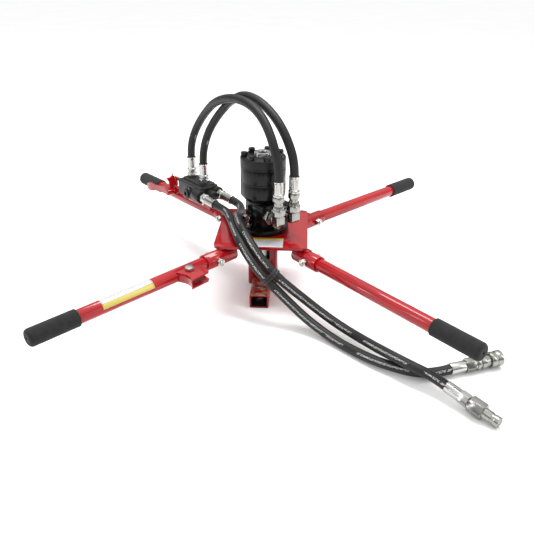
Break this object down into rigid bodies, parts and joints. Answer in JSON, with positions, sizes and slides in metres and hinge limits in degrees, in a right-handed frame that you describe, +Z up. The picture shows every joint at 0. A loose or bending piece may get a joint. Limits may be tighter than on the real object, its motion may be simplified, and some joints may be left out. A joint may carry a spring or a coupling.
{
  "type": "hydraulic earth-anchor drive head",
  "caption": "Hand-held hydraulic rotary drive head: motor on a square plate, crossed handles with grips, lever valve, hose loops and long hoses with quick couplers.",
  "frame": {"origin": "on the output axis of the motor, at the mouth of the anchor socket, level with the ground that the torque-bar receiver lies on", "axes": "+Z up along the output axis, -Y towards the torque-bar receiver, +X to the right when seen from the receiver's side"},
  "size_m": [0.8633, 0.9279, 0.4336],
  "materials": {
    "red_paint": "gloss",
    "grip_foam": "matt cellular",
    "black_paint": "satin",
    "bright_steel": "bright zinc plated",
    "machined_steel": "machined",
    "hose_rubber": "satin",
    "label_film": "blank sticker",
    "black_plastic": "satin"
  },
  "bodies": {
    "frame": {"bracket_fasteners": "bright_steel", "cable_tie": "black_plastic", "centring_spring": "machined_steel", "drive_guard": "red_paint", "female_coupler_body": "bright_steel", "flange_nuts": "black_paint", "flange_studs": "black_paint", "gerotor_ring": "black_paint", "gerotor_rollers": "machined_steel", "grip_front_left": "grip_foam", "grip_front_right": "grip_foam", "grip_rear_left": "grip_foam", "grip_rear_right": "grip_foam", "handle_front_left": "red_paint", "handle_front_right": "red_paint", "handle_rear_left": "red_paint", "handle_rear_right": "red_paint", "handle_sockets": "red_paint", "hose_ferrules": "bright_steel", "lever_bracket": "red_paint", "loop_hose_inner": "hose_rubber", "loop_hose_outer": "hose_rubber", "male_coupler": "bright_steel", "motor_cap_bolts": "black_paint", "motor_end_cap": "black_paint", "motor_hose_nuts": "bright_steel", "motor_housing": "black_paint", "mounting_plate": "red_paint", "port_adapters": "bright_steel", "port_elbows": "bright_steel", "pressure_hose": "hose_rubber", "pressure_hose_end": "bright_steel", "relief_valve": "black_paint", "return_hose": "hose_rubber", "return_hose_end": "bright_steel", "shaft_bearings": "machined_steel", "shaft_seal": "hose_rubber", "side_bracket": "red_paint", "socket_bolts": "bright_steel", "socket_nuts": "bright_steel", "socket_plugs": "bright_steel", "spool_end_plate": "black_paint", "spring_cap": "black_paint", "torque_bar_receiver": "red_paint", "valve_body": "black_paint", "valve_hose_nuts": "bright_steel", "valve_saddle": "red_paint", "valve_screws": "bright_steel", "wear_plates": "black_paint", "work_port_adapters": "bright_steel"},
    "output": {"output_shaft": "machined_steel", "drive_hub": "machined_steel", "hub_cross_pin": "machined_steel"},
    "orbit": {"drive_link": "machined_steel"},
    "star": {"gerotor_star": "machined_steel"},
    "hand_lever": {"lever": "red_paint"},
    "spool": {"valve_spool": "machined_steel"},
    "coupler_sleeve": {"female_coupler_sleeve": "bright_steel"},
    "female_face": {"female_coupler_face_valve": "bright_steel"},
    "male_face": {"male_coupler_face_valve": "bright_steel"}
  },
  "joints": [
    {"name": "output_spin", "type": "hinge", "parent": "frame", "child": "output", "pos_m": [0, 0, 0.1], "axis": [0, 0, 1], "continuous": true},
    {"name": "rotor_orbit", "type": "hinge", "parent": "frame", "child": "orbit", "pos_m": [0, 0, 0.25], "axis": [0, 0, 1], "continuous": true},
    {"name": "rotor_turn", "type": "hinge", "parent": "orbit", "child": "star", "pos_m": [-0.0007, 0.0025, 0.2745], "axis": [0, 0, 1], "continuous": true},
    {"name": "lever_swing", "type": "hinge", "parent": "frame", "child": "hand_lever", "pos_m": [-0.26257, 0.26485, 0.129], "axis": [-0.7431, -0.6691, 0], "range_deg": [-5.5, 5.5], "stiffness_Nm_per_rad": 18},
    {"name": "spool_slide", "type": "slide", "parent": "frame", "child": "spool", "axis": [-0.6691, 0.7431, 0], "range_m": [-0.0032, 0.0032]},
    {"name": "sleeve_slide", "type": "slide", "parent": "frame", "child": "coupler_sleeve", "axis": [-0.9299, -0.3671, -0.0224], "range_m": [0, 0.006], "stiffness_N_per_m": 1500},
    {"name": "female_face_slide", "type": "slide", "parent": "frame", "child": "female_face", "axis": [-0.9299, -0.3671, -0.0224], "range_m": [0, 0.007], "stiffness_N_per_m": 1500},
    {"name": "male_face_slide", "type": "slide", "parent": "frame", "child": "male_face", "axis": [-0.697, 0.7018, 0.1474], "range_m": [0, 0.007], "stiffness_N_per_m": 1000}
  ],
  "couplings": [
    {"joint": "rotor_orbit", "follows": "output_spin", "ratio": -6},
    {"joint": "rotor_turn", "follows": "output_spin", "ratio": 7},
    {"joint": "spool_slide", "follows": "lever_swing", "m_per_rad": 0.033}
  ]
}
